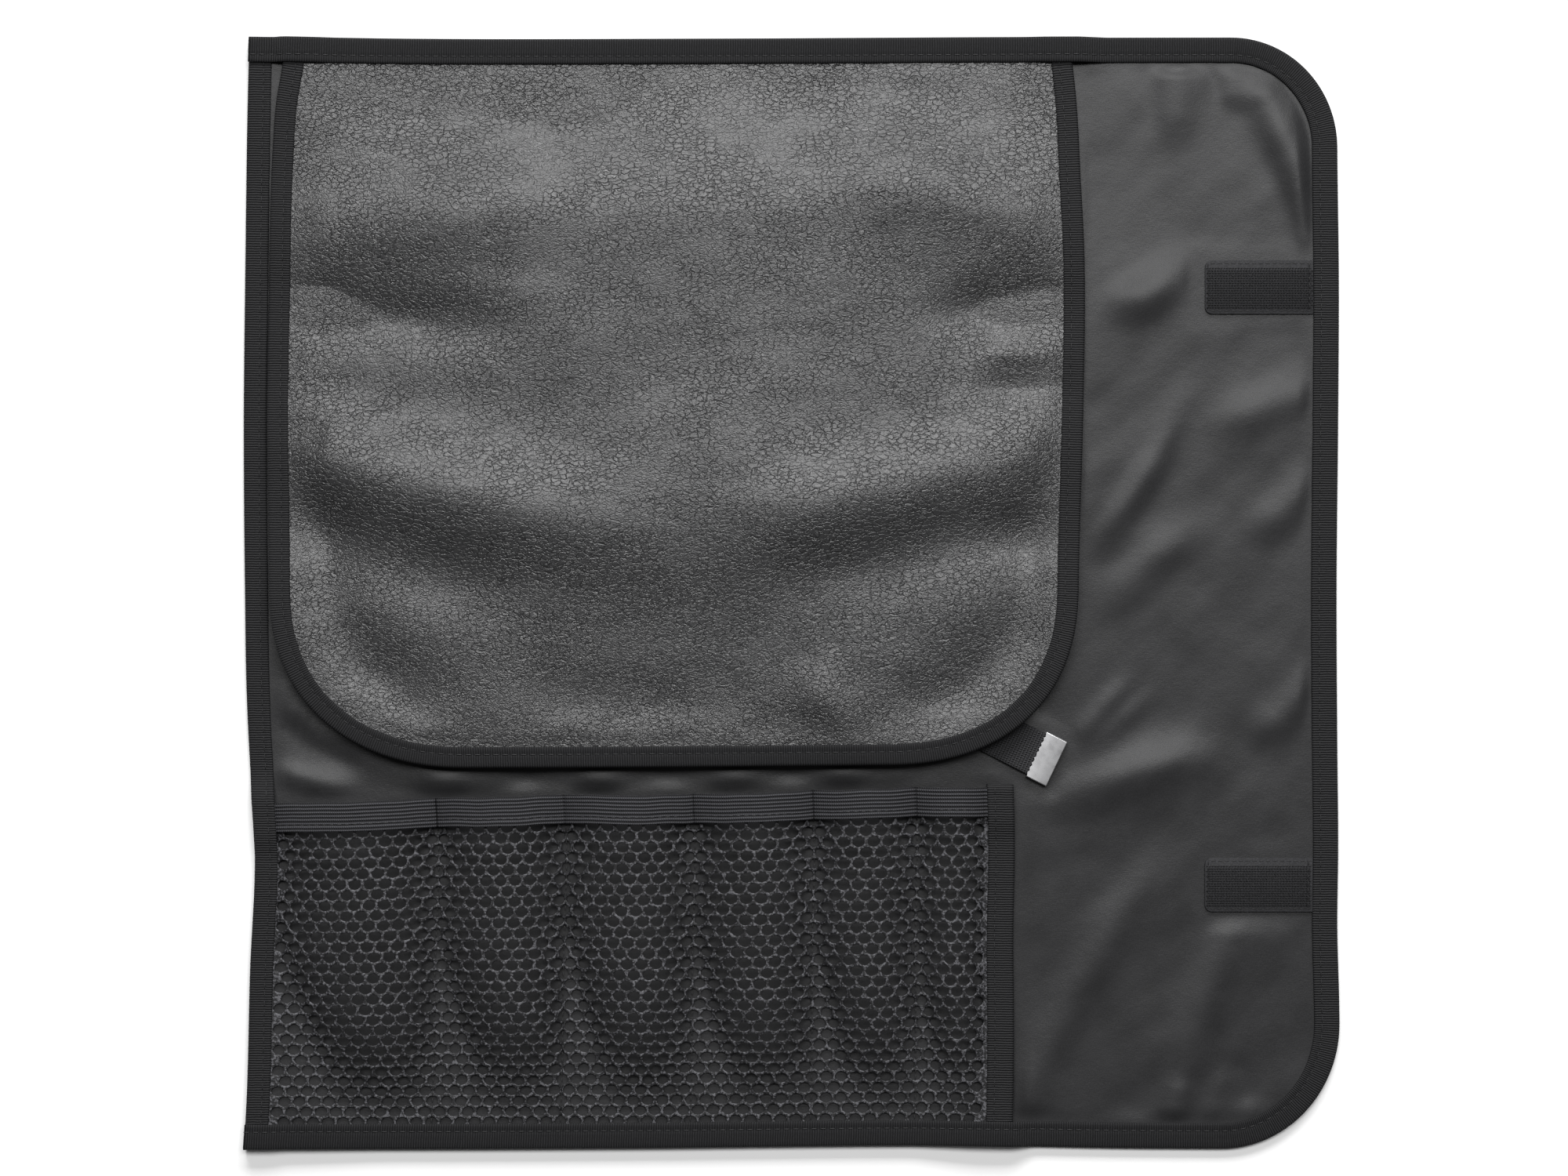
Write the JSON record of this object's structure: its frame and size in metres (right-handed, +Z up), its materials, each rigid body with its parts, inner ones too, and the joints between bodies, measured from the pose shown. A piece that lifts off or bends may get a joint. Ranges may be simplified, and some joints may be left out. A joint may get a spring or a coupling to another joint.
{
  "type": "chef knife roll",
  "caption": "Open knife roll with taped edges, a wide vinyl flap, a row of net pockets under an elastic band, hook patches and a short webbing strap.",
  "frame": {"origin": "under the middle of the open roll, on the table that it lies on", "axes": "+X from the straight taped edge to the edge with the hook patches, +Y from the pockets up to the seam of the flap, +Z up from the table"},
  "size_m": [0.4801, 0.487, 0.0172],
  "materials": {
    "woven_nylon": "fine plain weave with a slight sheen, charcoal",
    "ribbed_tape": "ribs across the tape, black",
    "grained_vinyl": "creased leather grain with a soft shine, grey",
    "net": "coarse hexagonal net of twisted yarn, black",
    "elastic": "lengthwise ribs, black",
    "hook_tape": "field of small hooks between flat selvedges, black",
    "webbing": "twill webbing, black",
    "bright_metal": "bright folded sheet"
  },
  "bodies": {
    "root": {"base_panel": "woven_nylon", "edge_binding": "ribbed_tape", "left_binding": "ribbed_tape", "flap": "grained_vinyl", "flap_binding": "ribbed_tape", "pocket_net": "net", "pocket_elastic": "elastic", "pocket_side_tape": "ribbed_tape", "hook_patch_upper": "hook_tape", "hook_patch_lower": "hook_tape", "strap": "webbing", "strap_tip": "bright_metal"}
  },
  "joints": []
}
